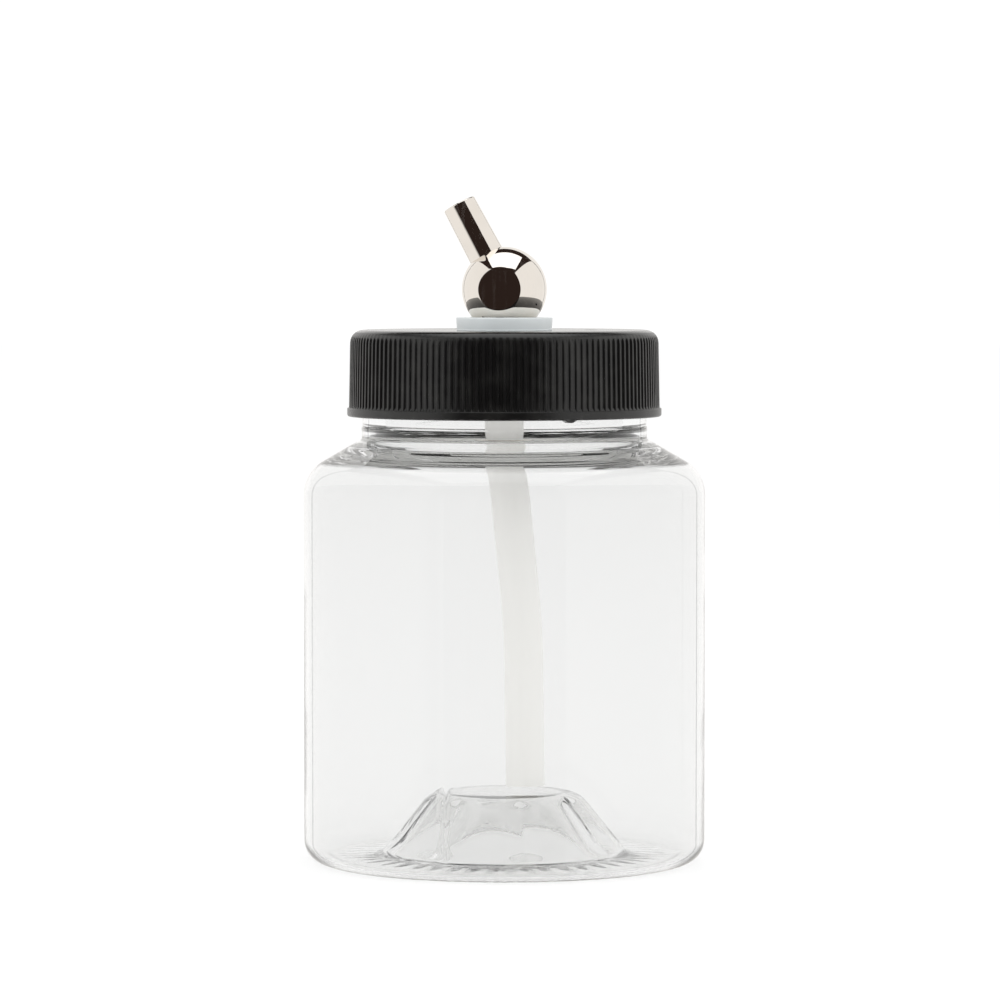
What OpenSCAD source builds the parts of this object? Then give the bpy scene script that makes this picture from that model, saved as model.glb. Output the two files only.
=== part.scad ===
// Siphon bottle for an airbrush: a clear screw-neck jar, a ribbed cap, and a swivelling
// metal adaptor whose dip tube draws paint from the bottom of the jar.
// Origin: centre of the jar's foot, on the surface it stands on. +Z runs up the jar's axis,
// -Y is the front, and the stem leans towards -X.

/* [Jar] */
// Outer diameter of the jar's body
jar_od = 52.6; // [52:0.1:54]
// Height of the straight wall, from the foot to where the shoulder starts
wall_top = 48; // [46:0.5:50]
// Thickness of the body's wall
jar_wall = 0.6; // [0.5:0.1:0.9]
// Radius of the rounded heel
heel_r = 3; // [2.5:0.1:3.5]
// Radius of the rounding between wall and shoulder
shoulder_r = 5; // [4.5:0.1:5]
// Height of the flat top of the push-up inside the base
pushup_h = 9.3; // [8:0.1:9.4]
// Radius of that flat top
pushup_top_r = 8.7; // [8:0.1:9]
// Radius of the push-up's foot
pushup_foot_r = 15.7; // [15:0.1:16]

/* [Neck finish] */
// Height of the rim above the foot
rim_z = 67.5; // [67.5:0.1:67.6]
// Diameter over the jar's screw thread
thread_od = 37.34; // [37.2:0.02:37.4]
// Diameter at the root of the thread
thread_root_d = 35; // [34.9:0.1:35.2]
// Inner diameter of the mouth
mouth_d = 31.6; // [31:0.1:32]
// Rise of the thread in one turn, six turns to the inch
thread_pitch = 4.2333; // [4.2333:0.0001:4.2334]
// Diameter of the bead under the thread
bead_d = 37.4; // [37.2:0.1:37.6]

/* [Cap] */
// Outer diameter of the smooth band round the cap's mouth
cap_band_d = 41.15; // [41:0.05:41.3]
// Height of the cap
cap_h = 11.3; // [11.2:0.1:11.4]
// Number of grip ribs
rib_count = 144; // [120:12:144]
// Thickness of the cap's top
cap_top_t = 1.3; // [1.2:0.1:1.4]
// Thickness of the sealing liner
liner_t = 1; // [0.8:0.1:1]
// Radius of the rounded top edge
cap_edge_r = 1.7; // [1.5:0.1:1.8]
// Diameter of the air vent
vent_d = 1.7; // [1.5:0.1:1.9]
// Distance of the vent from the axis
vent_x = 11.3; // [10:0.1:12]

/* [Adaptor] */
// Diameter of the ball
ball_d = 11.16; // [11:0.02:11.3]
// Height of the ball's centre above the washer it stands on
ball_lift = 3.65; // [3.5:0.05:3.8]
// Distance between the two wrench flats
flats_w = 9.7; // [9.5:0.1:10]
// Lean of the stem from the vertical
stem_lean = 28.3; // [25:0.1:30]
// Distance from the ball's centre to the stem's tip
stem_reach = 12.7; // [12:0.1:13]
// Diameter of the tapered stem at its tip
stem_tip_d = 4.45; // [4.4:0.01:4.5]
// Diameter of the tapered stem where it leaves the ball
stem_root_d = 4.72; // [4.7:0.01:4.8]
// Turn of the adaptor about the jar's axis as it is stored
adaptor_turn = -8.6; // [-20:0.1:20]
// Diameter of the paint passage
passage_d = 2.4; // [2:0.1:2.6]
// Diameter of the threaded shank
shank_d = 6; // [5.8:0.1:6]
// Diameter of the spigot that holds the tube
spigot_d = 3.5; // [3.4:0.1:3.6]
// Width across flats of the clamp nut
nut_af = 8; // [7.8:0.1:8.5]

/* [Washers] */
// Lower diameter of the washer on the cap
washer_low_d = 12.95; // [12.8:0.05:13.1]
// Upper diameter of that washer
washer_high_d = 12.6; // [12.5:0.05:12.7]
// Thickness of that washer
washer_t = 1.65; // [1.5:0.05:1.8]
// Diameter of the washer under the liner
under_washer_d = 11; // [10:0.1:12]
// Thickness of the washer under the liner
under_washer_t = 0.8; // [0.6:0.1:1]

/* [Dip tube] */
// Outer diameter of the tube
tube_od = 5.1; // [5:0.1:5.2]
// Lean of the tube's long middle stretch
tube_lean = 5.7; // [5:0.1:6]
// Lean of its lower end
tube_end_lean = 0.8; // [0.5:0.1:1]
// Height of the tube's open lower end
tube_low = 9.9; // [9.8:0.1:11]

/* [Hidden] */
$fn = 96;

running_gap = 0.05; // radial, between the shank and what turns on it
screw_gap = 0.02; // radial, between a screw and its nut, both drawn plain
over = 1; // how far a cutting shape runs past a face

// Jar
jar_r = jar_od / 2;
foot_flat = [22.7, 23.3]; // inner and outer radius of the ring that the jar stands on
shoulder_slope = 30.5;
shoulder_end = [18.95, 55.4];
bead_z = [55.7, 56.8];
neck_r = 18;
neck_z = [57.15, 58.9];
thread_start_z = 59.4;
rim_edge = 0.3;
floor_t = 1.3;
inner_heel_r = 2.3;

// Thread ridges
ridge_step = 12; // degrees between rings of a ridge
ridge_sink = 0.35; // how far a ridge's foot is buried in its wall
ridge_fade = 36; // degrees over which a ridge runs out at each end
jar_ridge_z = [60.3, 66.1]; // height of the ridge's middle, at its lower and upper end
jar_ridge_w = [2.2, 1.1]; // width at the foot and at the crest
cap_ridge_drop = 1.6; // the cap's ridge bears on the underside of the jar's
cap_ridge_z = [59.65, 64.6];
cap_ridge_w = [1.9, 0.9];
cap_ridge_crest_r = 17.95;
cap_bore_r = 18.95;

// Heights up the cap and adaptor
liner_z = rim_z;
cap_under_z = rim_z + liner_t;
cap_top_z = cap_under_z + cap_top_t;
cap_low_z = cap_top_z - cap_h;
band_h = 1.1;
rib_root_r = 20.1;
rib_crest_r = [20.45, 20.32]; // below and above
washer_z = cap_top_z;
ball_seat_z = washer_z + washer_t;
ball_z = ball_seat_z + ball_lift;
ball_r = ball_d / 2;
under_washer_z = rim_z - under_washer_t;
nut_h = 2.5;
nut_z = under_washer_z - nut_h;
nut_chamfer = 0.5;
shank_low_z = nut_z - 0.6;
shank_high_z = ball_seat_z + 2.1;
liner_r = 18.4;
spigot_low_z = 54.8;
barb_r = 1.92;
barb_h = 1.5;
barb_pitch = 3;
barb_count = 2;
stem_socket = 2.4; // depth of the stem's socket, from the ball's centre
stem_chamfer = 0.25;
drill_past = 0.7; // the upright drilling runs this far past the ball's centre
drill_step = 0.3; // and is this much wider than the one that meets it

// Dip tube
tube_id = spigot_d;
tube_top_z = shank_low_z - 0.2;
tube_bend_z = 57; // the bend below the spigot starts here
tube_bend_r = 26;
tube_lean_len = 19; // length of the leaning stretch
tube_back_r = 105; // the bend back towards the vertical
tube_bend_steps = 8;
tube_sides = 24;

function arc(c, r, from, to, n) =
  [for (i = [0:n]) let (a = from + (to - from) * i / n) [c[0] + r * cos(a), c[1] + r * sin(a)]];

// Underside of the jar, from the axis out to the heel
function foot_outline() = concat(
  [[0, pushup_h - floor_t], [pushup_top_r - 0.9, pushup_h - floor_t]],
  [[pushup_foot_r - 0.8, floor_t - 0.5], [foot_flat[0], 0]],
  arc([jar_r - heel_r, heel_r], heel_r, -90, 0, 10)
);

// Outside of the shoulder and neck, up to the rim
function neck_outline() = concat(
  arc([jar_r - shoulder_r, wall_top], shoulder_r, 0, 90 - shoulder_slope, 8),
  [shoulder_end, [bead_d / 2, bead_z[0]], [bead_d / 2, bead_z[1]]],
  [[neck_r, neck_z[0]], [neck_r, neck_z[1]], [thread_root_d / 2, thread_start_z]],
  [[thread_root_d / 2, rim_z - rim_edge], [thread_root_d / 2 - rim_edge, rim_z]]
);

// Inside of the jar, from the rim down to the axis
function inner_outline() = let (
  wall_r = jar_r - jar_wall,
  mouth_r = mouth_d / 2
) concat(
  [[mouth_r + rim_edge, rim_z], [mouth_r, rim_z - rim_edge]],
  [[mouth_r, neck_z[0] - 1], [shoulder_end[0] - 2, shoulder_end[1] - 1.6]],
  arc([wall_r - shoulder_r + 0.2, wall_top - 0.4], shoulder_r - 0.2, 90 - shoulder_slope, 0, 8),
  arc([wall_r - inner_heel_r, floor_t + inner_heel_r], inner_heel_r, 0, -90, 8),
  [[pushup_foot_r, floor_t + 0.6], [pushup_top_r, pushup_h], [0, pushup_h]]
);

// One cross-section of a helical ridge: its foot lies in the wall and its crest stands out
function ridge_ring(foot_r, crest_r, w, a, z, grow) =
  let (crest = foot_r + (crest_r - foot_r) * grow, hw = w / 2)
  [for (p = [[foot_r, -hw[0]], [crest, -hw[1]], [crest, hw[1]], [foot_r, hw[0]]])
    [p[0] * cos(a), p[0] * sin(a), z + p[1]]];

// Right-handed ridge whose middle passes the height zero_z at the angle 0
module thread_ridge(foot_r, crest_r, w, z_range, zero_z) {
  from = (z_range[0] - zero_z) / thread_pitch * 360;
  to = (z_range[1] - zero_z) / thread_pitch * 360;
  n = ceil((to - from) / ridge_step);
  rings = [for (i = [0:n]) let (
    a = from + (to - from) * i / n,
    grow = min(1, 0.2 + 0.8 * min(a - from, to - a) / ridge_fade)
  ) ridge_ring(foot_r, crest_r, w, a, zero_z + thread_pitch * a / 360, grow)];
  points = [for (ring = rings) for (p = ring) p];
  sides = [for (i = [0:n - 1]) for (k = [0:3]) let (m = (k + 1) % 4)
    [4 * i + k, 4 * i + m, 4 * i + 4 + m, 4 * i + 4 + k]];
  triangles = [for (s = sides) for (t = [[s[0], s[1], s[2]], [s[0], s[2], s[3]]])
    crest_r > foot_r ? [t[2], t[1], t[0]] : t];
  first = [[0, 1, 2], [0, 2, 3]];
  last = [for (t = first) [4 * n + t[2], 4 * n + t[1], 4 * n + t[0]]];
  ends = concat(first, last);
  polyhedron(points, concat(triangles, [for (t = ends) crest_r > foot_r ? [t[2], t[1], t[0]] : t]));
}

module ring(r_out, r_in, h) {
  difference() {
    cylinder(r = r_out, h = h);
    translate([0, 0, -over]) cylinder(r = r_in, h = h + 2 * over);
  }
}

// Places its children where the adaptor's ball is, turned as the adaptor is stored
module at_ball() {
  translate([0, 0, ball_z]) rotate([0, 0, adaptor_turn]) children();
}

module jar() {
  color([0.9, 0.93, 0.95, 0.35]) union() {
    rotate_extrude() polygon(concat(foot_outline(), neck_outline(), inner_outline()));
    thread_ridge(thread_root_d / 2 - ridge_sink, thread_od / 2, jar_ridge_w, jar_ridge_z, jar_ridge_z[0]);
  }
}

// The cap's outside, with its band, its drafted wall and its rounded top edge
module cap_blank() {
  rotate_extrude() polygon(concat(
    [[0, cap_low_z], [cap_band_d / 2 - 0.3, cap_low_z], [cap_band_d / 2, cap_low_z + 0.3]],
    [[cap_band_d / 2, cap_low_z + band_h - 0.1], [rib_crest_r[0], cap_low_z + band_h]],
    arc([rib_crest_r[1] - cap_edge_r, cap_top_z - cap_edge_r], cap_edge_r, 0, 90, 8),
    [[0, cap_top_z]]
  ));
}

// Outline of the grip: a flat-topped rib and a flat-bottomed groove at each step
module grip_outline() {
  step = 360 / rib_count;
  crest_r = cap_band_d / 2 + over;
  slope = (crest_r - rib_root_r) * 0.9; // degrees taken by each flank
  polygon([for (i = [0:rib_count - 1]) for (p = [[-0.28, 0], [0.28, 0], [0.5 - 0.05, 1], [0.5 + 0.05, 1]])
    let (a = step * (i + p[0]), r = p[1] == 0 ? crest_r : rib_root_r) [r * cos(a), r * sin(a)]]);
}

module screw_cap() {
  color([0.08, 0.08, 0.08]) union() {
    difference() {
      intersection() {
        cap_blank();
        union() {
          translate([0, 0, cap_low_z - over]) cylinder(r = cap_band_d, h = over + band_h);
          translate([0, 0, cap_low_z + band_h]) linear_extrude(cap_h) grip_outline();
        }
      }
      translate([0, 0, cap_low_z - over]) cylinder(r = cap_bore_r, h = cap_under_z - cap_low_z + over);
      translate([0, 0, cap_under_z - over]) cylinder(d = shank_d + 2 * running_gap, h = cap_h);
      translate([vent_x, 0, cap_under_z - over]) cylinder(d = vent_d, h = cap_h);
    }
    thread_ridge(cap_bore_r + ridge_sink, cap_ridge_crest_r, cap_ridge_w, cap_ridge_z,
      jar_ridge_z[0] - cap_ridge_drop);
  }
}

module cap_liner() {
  color([0.93, 0.93, 0.9]) translate([0, 0, liner_z]) difference() {
    ring(liner_r, shank_d / 2 + running_gap, liner_t);
    translate([vent_x, 0, -over]) cylinder(d = vent_d, h = liner_t + 2 * over);
  }
}

module top_washer() {
  color([0.8, 0.84, 0.86, 0.9]) translate([0, 0, washer_z]) difference() {
    cylinder(d1 = washer_low_d, d2 = washer_high_d, h = washer_t);
    translate([0, 0, -over]) cylinder(d = shank_d + 2 * running_gap, h = washer_t + 2 * over);
  }
}

module adaptor_ball() {
  color([0.85, 0.84, 0.82]) at_ball() difference() {
    rotate([90, 0, 0]) sphere(r = ball_r); // its poles lie where the flats are cut
    translate([-ball_r, -ball_r, -ball_lift - ball_r]) cube([2 * ball_r, 2 * ball_r, ball_r]);
    for (side = [0, 180]) rotate([0, 0, side]) {
      translate([-ball_r, flats_w / 2, -ball_r]) cube([2 * ball_r, ball_r, 2 * ball_r]);
    }
    translate([0, 0, -ball_r]) cylinder(d = passage_d + drill_step, h = ball_r + drill_past);
    translate([0, 0, -ball_r]) cylinder(r = shank_d / 2 + screw_gap, h = shank_high_z - ball_z + ball_r);
    rotate([0, -stem_lean, 0]) {
      translate([0, 0, -drill_step]) cylinder(d = passage_d, h = ball_r);
      translate([0, 0, stem_socket]) cylinder(r = stem_root_d / 2 + screw_gap, h = ball_r);
    }
  }
}

module angled_stem() {
  taper_from = ball_r - 0.6; // the parallel part ends just inside the ball
  color([0.88, 0.87, 0.85]) at_ball() rotate([0, -stem_lean, 0]) difference() {
    union() {
      translate([0, 0, stem_socket]) cylinder(d = stem_root_d, h = taper_from - stem_socket);
      translate([0, 0, taper_from])
        cylinder(d1 = stem_root_d, d2 = stem_tip_d, h = stem_reach - stem_chamfer - taper_from);
      translate([0, 0, stem_reach - stem_chamfer])
        cylinder(d1 = stem_tip_d, d2 = stem_tip_d - 2 * stem_chamfer, h = stem_chamfer);
    }
    translate([0, 0, stem_socket - over]) cylinder(d = passage_d, h = stem_reach);
  }
}

// Hollow screw: its thread holds the ball and takes the nut, and its barbs hold the tube
module threaded_shank() {
  color([0.75, 0.74, 0.72]) difference() {
    union() {
      translate([0, 0, shank_low_z]) cylinder(d = shank_d, h = shank_high_z - shank_low_z);
      translate([0, 0, spigot_low_z + 0.5]) cylinder(d = spigot_d, h = shank_low_z - spigot_low_z - 0.5);
      translate([0, 0, spigot_low_z]) cylinder(d1 = spigot_d - 0.8, d2 = spigot_d, h = 0.5);
      for (i = [0:barb_count - 1]) translate([0, 0, spigot_low_z + 1 + barb_pitch * i])
        cylinder(r1 = spigot_d / 2 - 0.05, r2 = barb_r, h = barb_h);
    }
    translate([0, 0, spigot_low_z - over]) cylinder(d = passage_d, h = shank_high_z - spigot_low_z + 2 * over);
  }
}

module lower_washer() {
  color([0.85, 0.87, 0.88]) translate([0, 0, under_washer_z])
    ring(under_washer_d / 2, shank_d / 2 + screw_gap, under_washer_t);
}

module clamp_nut() {
  corner_r = nut_af / 2 / cos(30);
  color([0.75, 0.74, 0.72]) translate([0, 0, nut_z]) difference() {
    intersection() {
      cylinder(r = corner_r, h = nut_h, $fn = 6);
      union() {
        cylinder(r1 = corner_r - nut_chamfer, r2 = corner_r + over, h = nut_chamfer + over);
        translate([0, 0, nut_chamfer + over]) cylinder(r = corner_r + over, h = nut_h);
      }
    }
    translate([0, 0, -over]) cylinder(r = shank_d / 2 + screw_gap, h = nut_h + 2 * over);
  }
}

// Stations down the tube's middle line: distance from the axis, height and lean
function tube_stations() = let (
  n = tube_bend_steps,
  lean_x = tube_bend_r * (1 - cos(tube_lean)) + tube_lean_len * sin(tube_lean),
  lean_z = tube_bend_z - tube_bend_r * sin(tube_lean) - tube_lean_len * cos(tube_lean),
  back_x = lean_x - tube_back_r * cos(tube_lean),
  back_z = lean_z - tube_back_r * sin(tube_lean),
  end = [back_x + tube_back_r * cos(tube_end_lean), back_z + tube_back_r * sin(tube_end_lean)]
) concat(
  [[0, tube_top_z, 0]],
  [for (i = [0:n]) let (a = tube_lean * i / n)
    [tube_bend_r * (1 - cos(a)), tube_bend_z - tube_bend_r * sin(a), a]],
  [for (i = [0:n]) let (a = tube_lean + (tube_end_lean - tube_lean) * i / n)
    [back_x + tube_back_r * cos(a), back_z + tube_back_r * sin(a), a]],
  [[end[0] + (end[1] - tube_low) * tan(tube_end_lean), tube_low, tube_end_lean]]
);

// Circle of points round one station, square to the tube
function tube_ring(s, r) = [for (k = [0:tube_sides - 1]) let (t = 360 * k / tube_sides)
  [s[0] + r * cos(t) * cos(s[2]), r * sin(t), s[1] + r * cos(t) * sin(s[2])]];

// The tube is one closed skin: down the outside, across the lower end and up the bore
module siphon_tube() {
  stations = tube_stations();
  n = len(stations);
  rings = concat(
    [for (i = [0:n - 1]) tube_ring(stations[i], tube_od / 2)],
    [for (i = [n - 1:-1:0]) tube_ring(stations[i], tube_id / 2)]
  );
  faces = [for (i = [0:2 * n - 1]) for (k = [0:tube_sides - 1]) let (
    j = (i + 1) % (2 * n),
    m = (k + 1) % tube_sides
  ) for (t = [[[i, k], [i, m], [j, m]], [[i, k], [j, m], [j, k]]])
    [for (p = t) p[0] * tube_sides + p[1]]];
  color([0.93, 0.93, 0.9, 0.8]) polyhedron([for (ring = rings) for (p = ring) p], faces);
}

jar();
screw_cap();
cap_liner();
top_washer();
adaptor_ball();
angled_stem();
threaded_shank();
lower_washer();
clamp_nut();
siphon_tube();
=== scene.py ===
import bpy
import math
import numpy as np
from mathutils import Matrix, Vector


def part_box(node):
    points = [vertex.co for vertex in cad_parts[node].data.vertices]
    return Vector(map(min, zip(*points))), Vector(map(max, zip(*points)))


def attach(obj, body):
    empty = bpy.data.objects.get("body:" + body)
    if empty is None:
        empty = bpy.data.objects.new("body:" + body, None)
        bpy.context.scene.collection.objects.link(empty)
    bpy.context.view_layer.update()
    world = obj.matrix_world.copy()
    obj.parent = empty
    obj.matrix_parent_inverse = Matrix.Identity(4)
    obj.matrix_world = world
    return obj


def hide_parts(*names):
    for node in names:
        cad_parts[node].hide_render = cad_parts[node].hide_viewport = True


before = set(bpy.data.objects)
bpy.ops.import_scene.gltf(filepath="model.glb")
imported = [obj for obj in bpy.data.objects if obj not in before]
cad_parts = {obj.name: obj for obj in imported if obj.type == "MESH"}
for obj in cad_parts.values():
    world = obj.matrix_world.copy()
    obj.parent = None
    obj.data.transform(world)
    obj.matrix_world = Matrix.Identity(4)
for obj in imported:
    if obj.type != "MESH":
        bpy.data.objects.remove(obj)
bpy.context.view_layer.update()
mm = 0.001  # outlines are written in millimetres, Blender works in metres

# camera and studio

cameraView = {
    "distance": 0.662,        # metres
    "height": 0.079,
    "aimHeight": 0.0475,
    "aimSide": -0.00057,
    "lens": 182.0,
    "sensor": 36,
}


def addCamera(v):
    drop = math.atan2(v["height"] - v["aimHeight"], v["distance"])
    bpy.ops.object.camera_add(
        location=(v["aimSide"], -v["distance"], v["height"]),
        rotation=(math.pi / 2 - drop, 0, 0),
    )
    camera = bpy.context.object
    camera.name = "camera"
    camera.data.lens = v["lens"]
    camera.data.sensor_width = v["sensor"]
    camera.data.clip_start = 0.01
    bpy.context.scene.camera = camera


studio = {
    "backdrop": 1.06,         # brightness of the white surround
    "darkRoom": (0.028, 0.018, 0.015, 1),
    "floorSize": 8.0,
    "floorColor": (0.5, 0.5, 0.5, 1),
    "floorGlow": 0.475,       # a lit table, so shadows on it stay faint
    "topBoxSize": 0.92,
    "topBoxHeight": 0.9,
    "topBoxPower": 1.6,
    "topBoxMirrored": 1.5,    # how bright the plating sees the top box
    "panelTop": 0.7,
    "panelBottom": -1.2,      # below the floor, so the panels also stand for the bright table in the plating
    "panelColor": (1.0, 0.985, 0.965, 1),
    "panelGlow": 1.0,
    "sharpEdge": 0.01,        # share of a sheet over which its glow comes up where its edge is crisp
    # bearing from the camera side and distance of the two ends, and the share over which the first end fades
    "rightPanel": (34, 0.7, 142, 1.0, 0.01),
    "leftPanel": (-38, 0.7, -142, 1.0, 0.12),
    "backPanel": (144, 1.0, -144, 1.0, 0.01),
    "maxBounces": 24,         # light runs round inside the clear walls
    "glossyBounces": 16,
    "diffuseBounces": 8,
}


def showOnlyInReflections(obj):
    obj.visible_camera = False
    obj.visible_diffuse = False
    obj.visible_transmission = False
    obj.visible_shadow = False
    obj.visible_volume_scatter = False


def glowMaterial(name, color, strength, fade):
    # light that comes up over the first share of the sheet's length
    material = bpy.data.materials.new(name)
    material.use_nodes = True
    nodes, links = material.node_tree.nodes, material.node_tree.links
    nodes.clear()
    place = nodes.new("ShaderNodeTexCoord")
    split = nodes.new("ShaderNodeSeparateXYZ")
    ramp = nodes.new("ShaderNodeMapRange")
    ramp.inputs["From Min"].default_value = -0.5
    ramp.inputs["From Max"].default_value = -0.5 + fade
    ramp.inputs["To Max"].default_value = strength
    glow = nodes.new("ShaderNodeEmission")
    glow.inputs["Color"].default_value = color
    links.new(place.outputs["Object"], split.inputs[0])
    links.new(split.outputs["X"], ramp.inputs["Value"])
    links.new(ramp.outputs[0], glow.inputs["Strength"])
    links.new(glow.outputs[0], nodes.new("ShaderNodeOutputMaterial").inputs["Surface"])
    return material


def addSheet(name, size, place, turn, material):
    bpy.ops.mesh.primitive_plane_add(size=1, location=place, rotation=turn)
    sheet = bpy.context.object
    sheet.name = name
    sheet.scale = (size[0], size[1], 1)
    sheet.data.materials.append(material)
    showOnlyInReflections(sheet)


def addPanel(name, ends, v):
    # an upright glowing sheet between two points on the floor plan
    bearingA, distanceA, bearingB, distanceB, fade = ends
    a, b = (Vector((d * math.sin(math.radians(t)), -d * math.cos(math.radians(t)), 0))
            for t, d in ((bearingA, distanceA), (bearingB, distanceB)))
    middle = (a + b) / 2 + Vector((0, 0, (v["panelTop"] + v["panelBottom"]) / 2))
    along = b - a
    addSheet(name, (along.length, v["panelTop"] - v["panelBottom"]), middle,
             (math.pi / 2, 0, math.atan2(along.y, along.x)),
             glowMaterial(name, v["panelColor"], v["panelGlow"], fade))


def addSurround(v):
    # white all round, but a dark room where a surface mirrors it past the panels
    world = bpy.data.worlds.new("studioWorld")
    bpy.context.scene.world = world
    world.use_nodes = True
    nodes, links = world.node_tree.nodes, world.node_tree.links
    white = nodes["Background"]
    white.inputs["Color"].default_value = (1, 1, 1, 1)
    white.inputs["Strength"].default_value = v["backdrop"]
    dark = nodes.new("ShaderNodeBackground")
    dark.inputs["Color"].default_value = v["darkRoom"]
    rays = nodes.new("ShaderNodeLightPath")
    mirrored = nodes.new("ShaderNodeMath")
    mirrored.operation = "SUBTRACT"
    mirrored.use_clamp = True
    links.new(rays.outputs["Is Glossy Ray"], mirrored.inputs[0])
    links.new(rays.outputs["Is Transmission Ray"], mirrored.inputs[1])
    mix = nodes.new("ShaderNodeMixShader")
    links.new(mirrored.outputs[0], mix.inputs[0])
    links.new(white.outputs[0], mix.inputs[1])
    links.new(dark.outputs[0], mix.inputs[2])
    links.new(mix.outputs[0], nodes["World Output"].inputs["Surface"])


def addStudio(v):
    addSurround(v)
    bpy.ops.mesh.primitive_plane_add(size=v["floorSize"], location=(0, 0, 0))
    floor = bpy.context.object
    floor.name = "floor"
    paper = bpy.data.materials.new("floorPaper")
    paper.use_nodes = True
    shader = paper.node_tree.nodes["Principled BSDF"]
    shader.inputs["Base Color"].default_value = v["floorColor"]
    shader.inputs["Roughness"].default_value = 0.9
    shader.inputs["Specular IOR Level"].default_value = 0
    shader.inputs["Emission Color"].default_value = (1, 1, 1, 1)
    shader.inputs["Emission Strength"].default_value = v["floorGlow"]
    floor.data.materials.append(paper)
    floor.visible_glossy = False
    bpy.ops.object.light_add(type="AREA", location=(0, 0, v["topBoxHeight"]))
    top = bpy.context.object
    top.name = "topBox"
    top.data.shape = "SQUARE"
    top.data.size = v["topBoxSize"]
    top.data.energy = v["topBoxPower"]
    top.visible_glossy = False
    addSheet("topBoxFace", (v["topBoxSize"], v["topBoxSize"]), top.location, (0, 0, 0),
             glowMaterial("topBoxFace", (1, 1, 1, 1), v["topBoxMirrored"], v["sharpEdge"]))
    for side in ("rightPanel", "leftPanel", "backPanel"):
        addPanel(side, v[side], v)
    scene = bpy.context.scene
    scene.view_settings.view_transform = "Standard"
    scene.cycles.max_bounces = scene.cycles.transmission_bounces = v["maxBounces"]
    scene.cycles.glossy_bounces = v["glossyBounces"]
    scene.cycles.diffuse_bounces = v["diffuseBounces"]
    scene.cycles.blur_glossy = 0  # keeps the walls clear for light that leaves the white tube
    print("studio ready")


# shaping tools

def roundedOutline(corners, bend):
    # corners are (radius from the axis, height, rounding); a rounded one becomes an arc
    # of one point every bend degrees
    points = []
    for i, (r, z, rounding) in enumerate(corners):
        here = Vector((r, z))
        if not rounding or i in (0, len(corners) - 1):
            points.append(here)
            continue
        back = (Vector(corners[i - 1][:2]) - here).normalized()
        ahead = (Vector(corners[i + 1][:2]) - here).normalized()
        half = back.angle(ahead) / 2
        centre = here + (back + ahead).normalized() * rounding / math.sin(half)
        start = here + back * rounding / math.tan(half) - centre
        sweep = math.pi - 2 * half
        if start.x * ahead.y - start.y * ahead.x < 0:
            sweep = -sweep
        count = max(2, math.ceil(abs(math.degrees(sweep)) / bend))
        for k in range(count + 1):
            a = sweep * k / count
            points.append(centre + Vector((start.x * math.cos(a) - start.y * math.sin(a),
                                           start.x * math.sin(a) + start.y * math.cos(a))))
    return points


def denser(points, low, high, step, inward=0.0):
    # adds points on stretches whose middle lies between the heights low and high, outside the radius inward
    out = [points[0]]
    for a, b in zip(points, points[1:]):
        middle = (a + b) / 2
        inside = low <= middle.y <= high and middle.x > inward
        count = max(1, math.ceil((b - a).length / step)) if inside else 1
        out += [a.lerp(b, (k + 1) / count) for k in range(count)]
    return out


def offsetOutline(points, thickness):
    # the same line moved to its left by thickness(point)
    moved = []
    for i, p in enumerate(points):
        along = (points[min(i + 1, len(points) - 1)] - points[max(i - 1, 0)]).normalized()
        moved.append(p + Vector((-along.y, along.x)) * thickness(p))
    return moved


def deselect():
    if bpy.context.object and bpy.context.object.mode != "OBJECT":
        bpy.ops.object.mode_set(mode="OBJECT")
    bpy.ops.object.select_all(action="DESELECT")


def faceOutward(piece):
    deselect()
    bpy.context.view_layer.objects.active = piece
    bpy.ops.object.mode_set(mode="EDIT")
    bpy.ops.mesh.select_all(action="SELECT")
    bpy.ops.mesh.normals_make_consistent(inside=False)
    bpy.ops.object.mode_set(mode="OBJECT")


def lathe(name, points, columns, sectors=24):
    # one vertex is drawn along the outline and spun through one sector, which is then copied round the axis
    deselect()
    bpy.ops.mesh.primitive_plane_add(size=mm)
    piece = bpy.context.object
    piece.name = piece.data.name = name
    bpy.ops.object.mode_set(mode="EDIT")
    bpy.ops.mesh.merge(type="CENTER")
    bpy.ops.transform.translate(value=(points[0].x * mm, 0, points[0].y * mm))
    for a, b in zip(points, points[1:]):
        step = ((b.x - a.x) * mm, 0, (b.y - a.y) * mm)
        bpy.ops.mesh.extrude_region_move(TRANSFORM_OT_translate={"value": step})
    sector = 2 * math.pi / sectors
    bpy.ops.mesh.select_all(action="SELECT")
    bpy.ops.mesh.spin(steps=columns // sectors, angle=sector, center=(0, 0, 0), axis=(0, 0, 1))
    bpy.ops.object.mode_set(mode="OBJECT")
    bpy.ops.object.empty_add(rotation=(0, 0, sector))
    turn = bpy.context.object
    around = piece.modifiers.new("around", "ARRAY")
    around.count = sectors
    around.use_relative_offset = False
    around.use_object_offset = True
    around.offset_object = turn
    bpy.context.view_layer.objects.active = piece
    bpy.ops.object.modifier_apply(modifier=around.name)
    bpy.data.objects.remove(turn)
    bpy.ops.object.mode_set(mode="EDIT")
    bpy.ops.mesh.select_all(action="SELECT")
    bpy.ops.mesh.remove_doubles(threshold=0.002 * mm)
    bpy.ops.object.mode_set(mode="OBJECT")
    faceOutward(piece)
    return piece


def polarPoints(piece):
    co = np.zeros(len(piece.data.vertices) * 3)
    piece.data.vertices.foreach_get("co", co)
    co = co.reshape(-1, 3) / mm
    return np.hypot(co[:, 0], co[:, 1]), np.arctan2(co[:, 1], co[:, 0]), co[:, 2]


def placePolar(piece, r, angle, z):
    co = np.stack([r * np.cos(angle), r * np.sin(angle), z], 1) * mm
    piece.data.vertices.foreach_set("co", co.ravel())
    piece.data.update()


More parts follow.
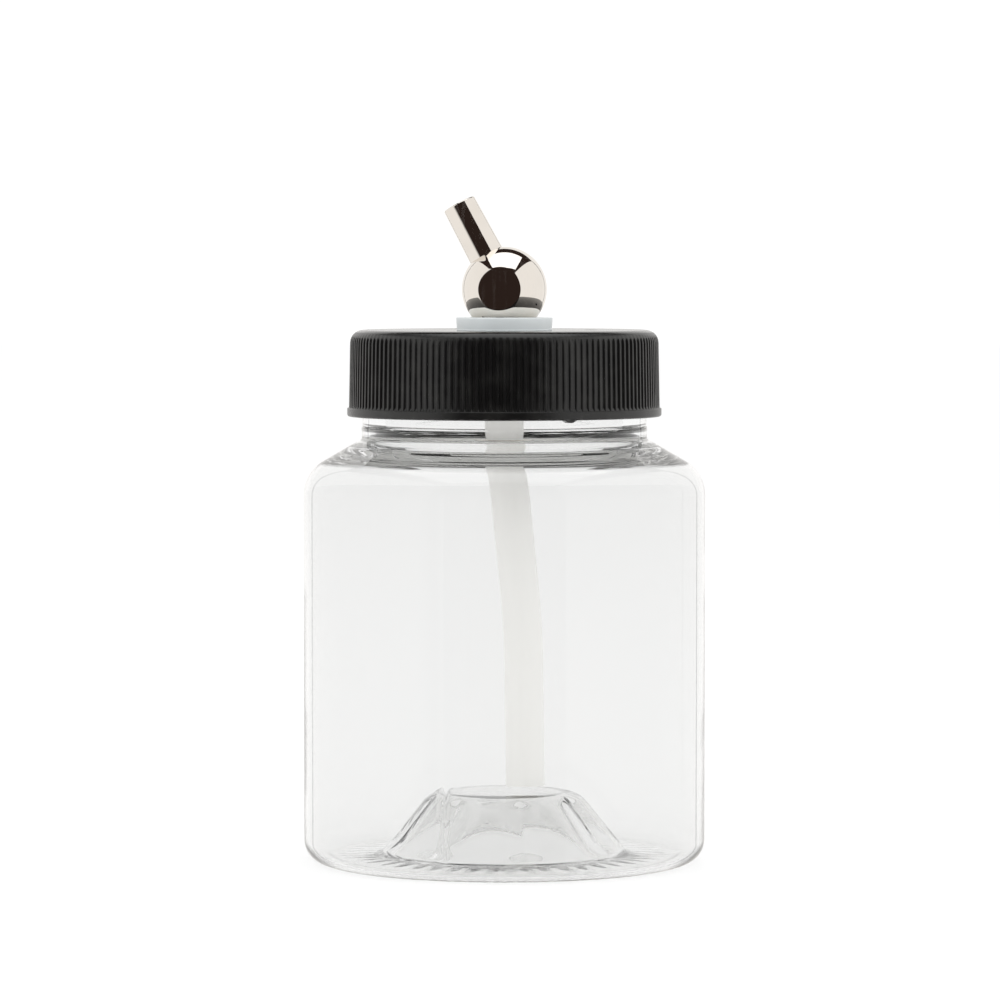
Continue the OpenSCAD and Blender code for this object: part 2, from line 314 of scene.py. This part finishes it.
# the thread that the jar and the cap share
screw = {
    "pitch": 4.2333,
    "fade": 40,               # degrees over which the ridge runs out at each end
    "drop": 1.6,              # the cap's ridge bears on the underside of the jar's
}


def eased(x):
    # 0 below 0, 1 above 1, a smooth step between
    x = np.clip(x, 0, 1)
    return x * x * (3 - 2 * x)


def apart(angle, bearing):
    # degrees from the bearing, which counts from the camera side towards +X
    return (np.degrees(angle) + 90 - bearing + 180) % 360 - 180


def ridgeHeight(z, angle, v, middle):
    # share of the full height of a right-handed screw ridge that passes the height middle at the angle 0
    foot, crest = v["threadWidths"]
    turns = angle / (2 * math.pi)
    best = np.zeros_like(z)
    for k in range(-3, 4):
        centre = middle + screw["pitch"] * (turns + k)
        shape = eased((foot / 2 - np.abs(z - centre)) / (foot / 2 - crest / 2))
        toEnd = np.minimum(centre - v["threadLow"], v["threadHigh"] - centre)
        run = np.clip(toEnd / (screw["pitch"] * screw["fade"] / 360), 0, 1)
        best = np.maximum(best, shape * run)
    return best


def smoothByAngle(piece, degrees):
    deselect()
    piece.select_set(True)
    bpy.context.view_layer.objects.active = piece
    bpy.ops.object.shade_smooth_by_angle(angle=math.radians(degrees))


def cutWith(piece, cutter):
    deselect()
    bpy.context.view_layer.objects.active = piece
    cut = piece.modifiers.new("cut", "BOOLEAN")
    cut.object = cutter
    cut.operation = "DIFFERENCE"
    cut.solver = "EXACT"
    bpy.ops.object.modifier_apply(modifier=cut.name)
    bpy.data.objects.remove(cutter)


def applyPlace(piece, matrix):
    deselect()
    piece.matrix_world = matrix
    piece.select_set(True)
    bpy.context.view_layer.objects.active = piece
    bpy.ops.object.transform_apply(location=True, rotation=True, scale=True)


def standsFor(piece, node, body, material):
    piece.data.materials.clear()
    piece.data.materials.append(material)
    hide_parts(node)
    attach(piece, body)
    print(piece.name, len(piece.data.polygons), "faces")


# materials

# the two colours that each finish drifts between
finishes = {
    "clear": ((0.902, 0.904, 0.902), (0.914, 0.914, 0.910)),
    "throughClear": (0.986, 0.987, 0.981, 1),  # what is left of light that falls through the clear wall
    "black": ((0.006, 0.006, 0.006), (0.013, 0.013, 0.012)),
    "nylon": ((0.74, 0.79, 0.80), (0.80, 0.84, 0.85)),
    "milky": ((0.98, 0.972, 0.945), (0.995, 0.988, 0.965)),
    "foam": ((0.82, 0.82, 0.79), (0.90, 0.90, 0.88)),
    "bright": ((0.82, 0.775, 0.72), (0.79, 0.745, 0.69)),
    "turned": ((0.74, 0.72, 0.68), (0.62, 0.60, 0.57)),
}


def newGroup(name, inputs, outputs):
    group = bpy.data.node_groups.new(name, "ShaderNodeTree")
    for socket, value in inputs.items():
        made = group.interface.new_socket(socket, in_out="INPUT", socket_type="NodeSocketFloat")
        made.default_value = value
    for socket in outputs:
        group.interface.new_socket(socket, in_out="OUTPUT", socket_type="NodeSocketFloat")
    return group, group.nodes.new("NodeGroupInput"), group.nodes.new("NodeGroupOutput")


def calc(tree, operation, *values, clamp=False):
    node = tree.nodes.new("ShaderNodeMath")
    node.operation = operation
    node.use_clamp = clamp
    for i, value in enumerate(values):
        if isinstance(value, bpy.types.NodeSocket):
            tree.links.new(value, node.inputs[i])
        else:
            node.inputs[i].default_value = value
    return node.outputs[0]


def mouldedGroup():
    # slow waviness and a fine grain in one height, and a cloudy tone for colour and roughness
    group, source, result = newGroup(
        "mouldedSurface",
        {"Wave Scale": 120, "Wave Height": 0.3, "Grain Scale": 2500, "Grain Height": 0.1},
        ("Height", "Tone"),
    )
    place = group.nodes.new("ShaderNodeTexCoord")
    noises = {}
    for key, detail in (("Wave", 2), ("Grain", 3)):
        noise = group.nodes.new("ShaderNodeTexNoise")
        noise.inputs["Detail"].default_value = detail
        group.links.new(place.outputs["Object"], noise.inputs["Vector"])
        group.links.new(source.outputs[key + " Scale"], noise.inputs["Scale"])
        noises[key] = calc(group, "MULTIPLY", noise.outputs["Fac"], source.outputs[key + " Height"])
        if key == "Wave":
            group.links.new(noise.outputs["Fac"], result.inputs["Tone"])
    group.links.new(calc(group, "ADD", noises["Wave"], noises["Grain"]), result.inputs["Height"])
    return group


def handledGroup():
    # fine lines and soft smudges left by handling, as a mask from 0 to 1
    group, source, result = newGroup(
        "handlingMarks",
        {"Line Scale": 700, "Smudge Scale": 260, "Stretch": 0.06},
        ("Lines", "Smudges"),
    )
    place = group.nodes.new("ShaderNodeTexCoord")
    stretch = group.nodes.new("ShaderNodeCombineXYZ")
    stretch.inputs["X"].default_value = 1
    stretch.inputs["Y"].default_value = 1
    group.links.new(source.outputs["Stretch"], stretch.inputs["Z"])
    drawn = group.nodes.new("ShaderNodeVectorMath")
    drawn.operation = "MULTIPLY"
    group.links.new(place.outputs["Object"], drawn.inputs[0])
    group.links.new(stretch.outputs[0], drawn.inputs[1])
    lines = group.nodes.new("ShaderNodeTexNoise")
    lines.inputs["Detail"].default_value = 4
    group.links.new(drawn.outputs[0], lines.inputs["Vector"])
    group.links.new(source.outputs["Line Scale"], lines.inputs["Scale"])
    smudges = group.nodes.new("ShaderNodeTexNoise")
    group.links.new(place.outputs["Object"], smudges.inputs["Vector"])
    group.links.new(source.outputs["Smudge Scale"], smudges.inputs["Scale"])
    for noise, low, high, name in ((lines, 0.5, 0.75, "Lines"), (smudges, 0.45, 0.7, "Smudges")):
        shift = calc(group, "SUBTRACT", noise.outputs["Fac"], low)
        group.links.new(calc(group, "DIVIDE", shift, high - low, clamp=True), result.inputs[name])
    return group


moulded = mouldedGroup()
handled = handledGroup()


def newMaterial(name):
    material = bpy.data.materials.new(name)
    material.use_nodes = True
    return material, material.node_tree, material.node_tree.nodes["Principled BSDF"]


def addGroup(tree, group, **values):
    node = tree.nodes.new("ShaderNodeGroup")
    node.node_tree = group
    for key, value in values.items():
        node.inputs[key.replace("_", " ")].default_value = value
    return node


def between(tree, factor, low, high):
    # a value that goes from low to high as the factor goes from 0 to 1
    return calc(tree, "MULTIPLY_ADD", factor, high - low, low)


def tint(tree, shader, factor, finish):
    # base colour between the two of the finish
    node = tree.nodes.new("ShaderNodeMix")
    node.data_type = "RGBA"
    tree.links.new(factor, node.inputs["Factor"])
    # a mix of colours has its A and B on sockets 6 and 7, and its result on 2
    for socket, color in zip((6, 7), finishes[finish]):
        node.inputs[socket].default_value = (*color, 1)
    tree.links.new(node.outputs[2], shader.inputs["Base Color"])


def addBump(tree, shader, height, strength, distance):
    bump = tree.nodes.new("ShaderNodeBump")
    bump.inputs["Strength"].default_value = strength
    bump.inputs["Distance"].default_value = distance
    tree.links.new(height, bump.inputs["Height"])
    tree.links.new(bump.outputs[0], shader.inputs["Normal"])


def clearPlasticMaterial():
    material, tree, shader = newMaterial("clearPlastic")
    surface = addGroup(tree, moulded, Wave_Scale=45, Wave_Height=1.0, Grain_Scale=900, Grain_Height=0.02)
    tint(tree, shader, surface.outputs["Tone"], "clear")
    shader.inputs["Roughness"].default_value = 0
    shader.inputs["IOR"].default_value = 1.57
    shader.inputs["Specular Tint"].default_value = (0.35, 0.35, 0.35, 1)
    shader.inputs["Transmission Weight"].default_value = 1
    addBump(tree, shader, surface.outputs["Height"], 0.15, 0.0002)
    # light falls through the clear wall onto what stands behind it
    rays = tree.nodes.new("ShaderNodeLightPath")
    clear = tree.nodes.new("ShaderNodeBsdfTransparent")
    clear.inputs["Color"].default_value = finishes["throughClear"]
    mix = tree.nodes.new("ShaderNodeMixShader")
    tree.links.new(rays.outputs["Is Shadow Ray"], mix.inputs[0])
    tree.links.new(shader.outputs[0], mix.inputs[1])
    tree.links.new(clear.outputs[0], mix.inputs[2])
    tree.links.new(mix.outputs[0], tree.nodes["Material Output"].inputs["Surface"])
    return material


def blackPlasticMaterial():
    material, tree, shader = newMaterial("blackPlastic")
    surface = addGroup(tree, moulded, Wave_Scale=160, Wave_Height=0.2, Grain_Scale=3500, Grain_Height=0.8)
    marks = addGroup(tree, handled, Line_Scale=900, Smudge_Scale=420, Stretch=0.3)
    tint(tree, shader, marks.outputs["Smudges"], "black")
    # the flat top is smoother than the ribbed side
    place = tree.nodes.new("ShaderNodeTexCoord")
    split = tree.nodes.new("ShaderNodeSeparateXYZ")
    tree.links.new(place.outputs["Object"], split.inputs[0])
    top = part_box("screw_cap")[1].z
    onTop = calc(tree, "GREATER_THAN", split.outputs["Z"], top - 0.3 * mm)
    rough = between(tree, surface.outputs["Tone"], 0.24, 0.36)
    tree.links.new(calc(tree, "MULTIPLY_ADD", onTop, -0.16, rough), shader.inputs["Roughness"])
    addBump(tree, shader, surface.outputs["Height"], 0.35, 0.00005)
    return material


def platingMaterial(name, finish, smooth, marked, stretch):
    # roughness goes from smooth to marked on the fine lines, which run as long as stretch says
    material, tree, shader = newMaterial(name)
    marks = addGroup(tree, handled, Line_Scale=1600, Smudge_Scale=300, Stretch=stretch)
    tint(tree, shader, marks.outputs["Smudges"], finish)
    tree.links.new(between(tree, marks.outputs["Lines"], 1.0, 0.965), shader.inputs["Metallic"])
    tree.links.new(between(tree, marks.outputs["Lines"], smooth, marked), shader.inputs["Roughness"])
    addBump(tree, shader, marks.outputs["Lines"], 0.1, 0.00001)
    return material


def nylonMaterial():
    material, tree, shader = newMaterial("naturalNylon")
    surface = addGroup(tree, moulded, Wave_Scale=300, Wave_Height=0.3, Grain_Scale=4000, Grain_Height=0.5)
    tint(tree, shader, surface.outputs["Tone"], "nylon")
    tree.links.new(between(tree, surface.outputs["Tone"], 0.30, 0.42), shader.inputs["Roughness"])
    shader.inputs["Subsurface Weight"].default_value = 0.3
    shader.inputs["Subsurface Radius"].default_value = (1, 1, 1)
    shader.inputs["Subsurface Scale"].default_value = 0.001
    addBump(tree, shader, surface.outputs["Height"], 0.3, 0.00004)
    return material


def milkyTubeMaterial():
    material, tree, shader = newMaterial("milkyTube")
    surface = addGroup(tree, moulded, Wave_Scale=140, Wave_Height=0.5, Grain_Scale=2200, Grain_Height=0.3)
    tint(tree, shader, surface.outputs["Tone"], "milky")
    tree.links.new(between(tree, surface.outputs["Tone"], 0.35, 0.5), shader.inputs["Roughness"])
    shader.inputs["IOR"].default_value = 1.4
    addBump(tree, shader, surface.outputs["Height"], 0.2, 0.00005)
    return material


def foamMaterial():
    material, tree, shader = newMaterial("linerFoam")
    surface = addGroup(tree, moulded, Wave_Scale=500, Wave_Height=0.4, Grain_Scale=5000, Grain_Height=1.0)
    tint(tree, shader, surface.outputs["Tone"], "foam")
    tree.links.new(between(tree, surface.outputs["Tone"], 0.5, 0.75), shader.inputs["Roughness"])
    addBump(tree, shader, surface.outputs["Height"], 0.6, 0.0001)
    return material


# jar

jar = {
    "columns": 312,           # points round it
    "wall": 0.55,
    "neckWall": 1.4,
    "thickFrom": 52.4,        # heights between which the shoulder's wall thickens
    "thickTo": 54.8,
    "heel": 3.0,
    "shoulder": 5.0,
    "shoulderHeight": 51.15,
    "neckFoot": (18.95, 55.4),
    "footInner": 22.7,
    "footOuter": 23.3,
    "pushupHeight": 9.0,
    "pushupTop": 9.6,         # radii at the middle of its wall
    "pushupFoot": 15.7,
    "pushupWall": 0.65,       # thickness of its flat top
    "floor": 0.62,
    "beadRadius": 18.7,
    "beadTop": 57.1,
    "neckRadius": 18.6,
    "mouthRadius": 15.6,
    "mouthFoot": 56.3,
    "mouthRounding": 3.1,
    "neckTop": 58.9,
    "threadFoot": 59.4,
    "rimRounding": 0.3,
    "boreJoin": 60.0,         # where the neck's outline meets the throat's, inside the bore
    "threadRoot": 17.5,
    "threadCrest": 18.67,
    "threadLow": 60.3,
    "threadHigh": 66.1,
    "threadWidths": (2.2, 1.0),
    "petals": 7,
    "petalBearing": 11.6,
    "petalDepth": 0.8,
    "ticks": 48,
    "tickRadii": (18.1, 20.9),
    "tickHeight": 0.08,
    "seamBearing": -16.8,
    "seamHalfWidth": 0.4,     # degrees
    "seamHeight": 0.05,
    "lugBearing": -13,
    "lugHalfWidth": 3.2,      # degrees
    "lugHeight": 0.35,
}


def jarOutline(v, bodyRadius, rim):
    outside = roundedOutline([
        (v["footInner"], 0, 0),
        (v["footOuter"], 0, 0),
        (bodyRadius, 0, v["heel"]),
        (bodyRadius, v["shoulderHeight"], v["shoulder"]),
        (*v["neckFoot"], 0),
    ], bend=7)
    neck = roundedOutline([
        (*v["neckFoot"], 0),
        (v["beadRadius"], v["neckFoot"][1] + 0.2, 0.15),
        (v["beadRadius"], v["beadTop"], 0.05),
        (v["neckRadius"], v["beadTop"] + 0.1, 0.05),
        (v["neckRadius"], v["neckTop"], v["rimRounding"]),
        (v["threadRoot"], v["threadFoot"], v["rimRounding"]),
        (v["threadRoot"], rim, v["rimRounding"]),
        (v["mouthRadius"], rim, v["rimRounding"]),
        (v["mouthRadius"], v["boreJoin"], 0),
    ], bend=14)

    def thickness(p):
        heel = eased((p.y - 0.2) / v["heel"])
        low = v["floor"] + (v["wall"] - v["floor"]) * heel
        share = max(0, min(1, (p.y - v["thickFrom"]) / (v["thickTo"] - v["thickFrom"])))
        return low + (v["neckWall"] - low) * share ** 2

    skin = offsetOutline(denser(outside, v["thickFrom"] - 1, v["boreJoin"], 0.4), thickness)[1:]
    skin.reverse()
    throat = roundedOutline([
        (v["mouthRadius"], v["boreJoin"], 0),
        (v["mouthRadius"], v["mouthFoot"], v["mouthRounding"]),
        (skin[0].x, skin[0].y, 0),
    ], bend=6)
    floorInside = roundedOutline([
        (skin[-1].x, skin[-1].y, 0),
        (v["pushupFoot"] + 0.6, v["floor"] + 0.35, 2.2),
        (v["pushupTop"] + 0.2, v["pushupHeight"], 3.2),
        (0, v["pushupHeight"], 0),
    ], bend=9)
    under = roundedOutline([
        (0, v["pushupHeight"] - v["pushupWall"], 0),
        (v["pushupTop"] - 0.4, v["pushupHeight"] - v["pushupWall"], 2.8),
        (v["pushupFoot"] - 0.8, v["floor"] - 0.3, 1.5),
        (v["footInner"], 0, 0),
    ], bend=9)
    return under + outside[1:] + neck[1:] + throat[1:] + skin[1:] + floorInside[1:]


def shapeJar(piece, v):
    r, angle, z = polarPoints(piece)
    # thread on the outside of the neck
    onNeck = (z > v["threadLow"] - 1.3) & (np.abs(r - v["threadRoot"]) < 0.02)
    height = ridgeHeight(z, angle, v, v["threadLow"])
    r = np.where(onNeck, r + (v["threadCrest"] - v["threadRoot"]) * height, r)
    # lobes pressed into the underside of the push-up, with a crease between each two
    wallLow, wallHigh = v["floor"] + 0.05, v["pushupHeight"] - v["pushupWall"] / 2
    share = (z - wallLow) / (wallHigh - wallLow)
    middleRadius = v["pushupFoot"] + (v["pushupTop"] - v["pushupFoot"]) * share
    lobesFrom = 0.55
    onUnderside = (r < middleRadius - 0.1) & (z > lobesFrom) & (z < wallHigh) & (r > 6)
    lobe = np.abs(np.sin(np.radians(apart(angle, v["petalBearing"])) * v["petals"] / 2))
    rise = eased((z - lobesFrom) / 1.6) * eased((wallHigh - z) / 1.4)
    r = np.where(onUnderside, r - v["petalDepth"] * (1 - lobe) * rise, r)
    # plain radial ticks under the floor ring, each a bit narrower than the gap to the next
    onRing = (z < v["floor"] - 0.3) & (r > v["tickRadii"][0]) & (r < v["tickRadii"][1])
    onTick = np.abs(apart(angle * v["ticks"], 0)) < 70
    z = np.where(onRing & onTick, z + v["tickHeight"], z)
    # parting line up both sides of the body, on the column nearest to its bearing
    onBody = (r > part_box("jar")[1].x / mm - 0.05) & (z > 2.9) & (z < 50)
    column = 360 / v["columns"]
    for bearing in (v["seamBearing"], v["seamBearing"] + 180):
        away = apart(angle, bearing)
        onLine = onBody & (np.abs(away) < column / 2)
        beside = onBody & ~onLine & (np.abs(away) < 1.5 * column)
        move = np.where(onLine, away, away - np.sign(away) * v["seamHalfWidth"])
        angle = np.where(onLine | beside, angle - np.radians(move), angle)
        r = np.where(onLine, r + v["seamHeight"], r)
    # small moulded lug on the bead under the cap
    away = apart(angle, v["lugBearing"])
    onBead = (np.abs(r - v["beadRadius"]) < 0.05) & (z > 55.7) & (z < 57)
    r = np.where(onBead, r + v["lugHeight"] * eased(1.6 - np.abs(away) / v["lugHalfWidth"]), r)
    placePolar(piece, r, angle, z)


def makeJar(v):
    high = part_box("jar")[1]
    points = jarOutline(v, high.x / mm, high.z / mm)
    # rows for the thread, the lobes and the ticks
    points = denser(points, v["threadLow"] - 1.2, v["threadHigh"] + 0.6, 0.28, v["threadRoot"] - 0.1)
    points = denser(points, 1.0, 8.4, 0.5)
    points = denser(points, 0.02, 0.6, 0.7)
    piece = lathe("clear_jar", points, v["columns"])
    shapeJar(piece, v)
    smoothByAngle(piece, 40)
    standsFor(piece, "jar", "jar", clearPlasticMaterial())
    return piece


# cap

cap = {
    "ribs": 144,
    "columnsPerRib": 6,
    "columnPlaces": (0, 0.17, 0.33, 0.5, 0.67, 0.83, 1),   # across one rib
    "bandRadius": 20.575,
    "bandHeight": 1.1,
    "crestLow": 20.34,
    "crestHigh": 20.16,
    "ribDepth": 0.3,
    "edge": 1.7,
    "bore": 18.95,
    "threadCrest": 17.95,
    "threadLow": 59.65,
    "threadHigh": 64.6,
    "threadWidths": (1.9, 0.9),
    "topThickness": 1.3,
    "hole": 3.05,
    "ventRadius": 0.85,
    "ventX": 11.3,
    "gateBearing": 24.6,
    "gateHalfWidth": 2,       # degrees
    "gateDepth": 0.32,
}


def makeCap(v):
    low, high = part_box("screw_cap")
    bottom, top = low.z / mm, high.z / mm
    under = top - v["topThickness"]
    band = bottom + v["bandHeight"]
    loop = roundedOutline([
        (v["bore"], bottom + 2, 0),
        (v["bore"], bottom, 0.25),
        (v["bandRadius"], bottom, 0.3),
        (v["bandRadius"], band, 0.12),
        (v["crestLow"], band, 0.05),
        (v["crestHigh"], top, v["edge"]),
        (v["hole"], top, 0.1),
        (v["hole"], under, 0.1),
        (v["bore"], under, 0.4),
        (v["bore"], bottom + 2, 0),
    ], bend=13)
    points = denser(loop, under - 9.0, under - 1.0, 0.42)
    # the long straight ribs need only a few rows
    points = [p for i, p in enumerate(points)
              if not (p.x > 19.5 and band + 0.6 < p.y < top - 2.2 and i % 6)]
    piece = lathe("ribbed_cap", points, v["ribs"] * v["columnsPerRib"], v["ribs"])
    r, angle, z = polarPoints(piece)
    # a groove with sloping sides between each rib and the next, fading out above and below
    phase = (angle / (2 * math.pi) * v["ribs"]) % 1.0
    across = np.interp(phase, np.arange(v["columnsPerRib"] + 1) / v["columnsPerRib"], v["columnPlaces"])
    angle = angle + (across - phase) * 2 * math.pi / v["ribs"]
    groove = eased((0.36 - np.abs(across - 0.5)) / 0.2)
    fade = eased((z - band - 0.05) / 0.25) * eased((top - 0.75 - z) / 0.7)
    onRibs = (r > v["crestHigh"] - 1.2) & (z > band)
    r = np.where(onRibs, r - v["ribDepth"] * groove * fade, r)
    inBore = (np.abs(r - v["bore"]) < 0.02) & (z > bottom + 0.4)
    height = ridgeHeight(z, angle, v, jar["threadLow"] - screw["drop"])
    r = np.where(inBore, r - (v["bore"] - v["threadCrest"]) * height, r)
    # moulding gate left on the lower edge
    gate = eased(1.3 - np.abs(apart(angle, v["gateBearing"])) / v["gateHalfWidth"]) * (z < bottom + 0.05)
    z = z - v["gateDepth"] * gate
    placePolar(piece, r, angle, z)
    bpy.ops.mesh.primitive_cylinder_add(vertices=48, radius=v["ventRadius"] * mm, depth=6 * mm,
                                        location=(v["ventX"] * mm, 0, top * mm))
    cutWith(piece, bpy.context.object)
    smoothByAngle(piece, 40)
    standsFor(piece, "screw_cap", "cap", blackPlasticMaterial())
    return piece


# adaptor

adaptor = {
    "turn": -8.6,
    "ballRadius": 5.58,
    "ballLift": 3.65,
    "flatHalf": 4.85,
    "passage": 1.2,
    "lean": 28.3,
    "reach": 12.7,
    "tipRadius": 2.225,
    "rootRadius": 2.36,
    "socketDepth": 2.4,
    "shankHole": (3.02, 4.25),    # radius, and depth of the cutter
    "ballPoints": 80,
}


def adaptorPlace(v):
    # the ball's centre, turned on the cap's axis
    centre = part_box("top_washer")[1].z + v["ballLift"] * mm
    return Matrix.Translation((0, 0, centre)) @ Matrix.Rotation(math.radians(v["turn"]), 4, "Z")


def makeBall(v, material):
    # lathed on the axis through its two wrench flats, then laid on its side
    ball, half = v["ballRadius"], v["flatHalf"]
    flatRadius = math.sqrt(ball * ball - half * half)
    start = math.atan2(half, flatRadius)
    arc = []
    for k in range(1, v["ballPoints"]):
        a = start - 2 * start * k / v["ballPoints"]
        arc.append(Vector((ball * math.cos(a), ball * math.sin(a))))
    flat = [Vector((r, half)) for r in (0, 1.0, 2.0, flatRadius - 0.08)]
    flat.append(Vector((flatRadius - 0.02, half - 0.012)))
    points = flat + arc + [Vector((p.x, -p.y)) for p in reversed(flat)]
    piece = lathe("swivel_ball", points, 144)
    applyPlace(piece, Matrix.Rotation(math.pi / 2, 4, "X"))
    # flat seat at the bottom
    deselect()
    bpy.context.view_layer.objects.active = piece
    bpy.ops.object.mode_set(mode="EDIT")
    bpy.ops.mesh.select_all(action="SELECT")
    bpy.ops.mesh.bisect(plane_co=(0, 0, -v["ballLift"] * mm), plane_no=(0, 0, -1),
                        use_fill=True, clear_outer=True)
    bpy.ops.object.mode_set(mode="OBJECT")
    # holes for the shank, the passage and the stem's root
    lean = Matrix.Rotation(-math.radians(v["lean"]), 4, "Y")
    for radius, depth, centre, turn in (
        (*v["shankHole"], -ball + 2.0, Matrix()),
        (v["passage"] + 0.15, 5, -1.8, Matrix()),
        (v["passage"], 5, 2.2, lean),
        (v["rootRadius"] + 0.02, 4, v["socketDepth"] + 2, lean),
    ):
        bpy.ops.mesh.primitive_cylinder_add(vertices=96, radius=radius * mm, depth=depth * mm)
        drill = bpy.context.object
        drill.matrix_world = turn @ Matrix.Translation((0, 0, centre * mm))
        cutWith(piece, drill)
    applyPlace(piece, adaptorPlace(v))
    smoothByAngle(piece, 25)
    standsFor(piece, "adaptor_ball", "adaptor", material)
    return piece


def makeStem(v, material):
    taperFrom = v["ballRadius"] - 0.6
    points = roundedOutline([
        (v["passage"], v["socketDepth"] + 1, 0),
        (v["passage"], v["socketDepth"], 0),
        (v["rootRadius"], v["socketDepth"], 0.1),
        (v["rootRadius"], taperFrom, 0),
        (v["tipRadius"], v["reach"], 0.22),
        (v["passage"], v["reach"], 0.12),
        (v["passage"], v["socketDepth"] + 1, 0),
    ], bend=12)
    piece = lathe("tapered_stem", points, 96)
    applyPlace(piece, adaptorPlace(v) @ Matrix.Rotation(-math.radians(v["lean"]), 4, "Y"))
    smoothByAngle(piece, 30)
    standsFor(piece, "angled_stem", "adaptor", material)
    return piece


def makeWasher(material):
    low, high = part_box("top_washer")
    bottom, top, rLow = low.z / mm, high.z / mm, high.x / mm
    hole, side = cap["hole"], bottom + 0.8
    points = roundedOutline([
        (hole, side, 0),
        (hole, bottom, 0.08),
        (rLow, bottom, 0.12),
        (rLow - 0.175, top, 0.15),  # it narrows a little towards the ball
        (hole, top, 0.08),
        (hole, side, 0),
    ], bend=20)
    piece = lathe("flange_washer", points, 144)
    smoothByAngle(piece, 40)
    standsFor(piece, "top_washer", "top_washer", material)
    return piece


# dip tube

tube = {
    "outer": 2.55,
    "inner": 1.75,
    "arcSteps": 12,
    "bendHeight": 57.0,
    "bendRadius": 26.0,
    "lean": 5.7,
    "leanLength": 19.0,
    "backRadius": 105.0,
    "endLean": 0.8,
}


def tubeStations(v, top, bottom):
    # middle line in the XZ plane: (x, z, lean in radians), as the CAD tube bends
    lean, endLean = math.radians(v["lean"]), math.radians(v["endLean"])
    bend, back, steps = v["bendRadius"], v["backRadius"], v["arcSteps"]
    stations = [(0, top, 0), (0, (top + v["bendHeight"]) / 2, 0)]
    for k in range(steps + 1):
        a = lean * k / steps
        stations.append((bend * (1 - math.cos(a)), v["bendHeight"] - bend * math.sin(a), a))
    x, z, a = stations[-1]
    x += v["leanLength"] * math.sin(lean) - back * math.cos(lean)
    z -= v["leanLength"] * math.cos(lean) + back * math.sin(lean)
    for k in range(steps + 1):
        a = lean + (endLean - lean) * k / steps
        stations.append((x + back * math.cos(a), z + back * math.sin(a), a))
    x, z, a = stations[-1]
    stations.append((x + (z - bottom) * math.tan(endLean), bottom, endLean))
    return stations


def makeTube(v, material):
    low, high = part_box("siphon_tube")
    stations = tubeStations(v, high.z / mm, low.z / mm + 0.03)
    # a straight tube is lathed with one row per station, and each row is then moved to its station
    n = len(stations)
    outline = [Vector((v["outer"], float(i))) for i in range(n)]
    outline += [Vector((v["inner"], float(n - 1 - i))) for i in range(n)] + [Vector((v["outer"], 0.0))]
    piece = lathe("dip_tube", outline, 72)
    r, angle, row = polarPoints(piece)
    rows = np.rint(row).astype(int)
    sx, sz, lean = (np.array([s[k] for s in stations])[rows] for k in range(3))
    across, side = r * np.cos(angle), r * np.sin(angle)
    co = np.stack([sx + across * np.cos(lean), side, sz + across * np.sin(lean)], 1) * mm
    piece.data.vertices.foreach_set("co", co.ravel())
    faceOutward(piece)
    smoothByAngle(piece, 40)
    standsFor(piece, "siphon_tube", "adaptor", material)
    return piece


# CAD pieces that keep their own shape

def finishCad(materials):
    for node, material in materials.items():
        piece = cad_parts[node]
        piece.data.materials.clear()
        piece.data.materials.append(material)
    print("CAD pieces finished:", ", ".join(materials))


addCamera(cameraView)
addStudio(studio)
brightPlating = platingMaterial("brightPlating", "bright", smooth=0.02, marked=0.05, stretch=0.06)
turnedPlating = platingMaterial("turnedPlating", "turned", smooth=0.16, marked=0.34, stretch=6.0)
nylon = nylonMaterial()
makeJar(jar)
makeCap(cap)
makeBall(adaptor, brightPlating)
makeStem(adaptor, brightPlating)
makeWasher(nylon)
makeTube(tube, milkyTubeMaterial())
finishCad({
    "cap_liner": foamMaterial(),
    "threaded_shank": turnedPlating,
    "clamp_nut": turnedPlating,
    "lower_washer": nylon,
})
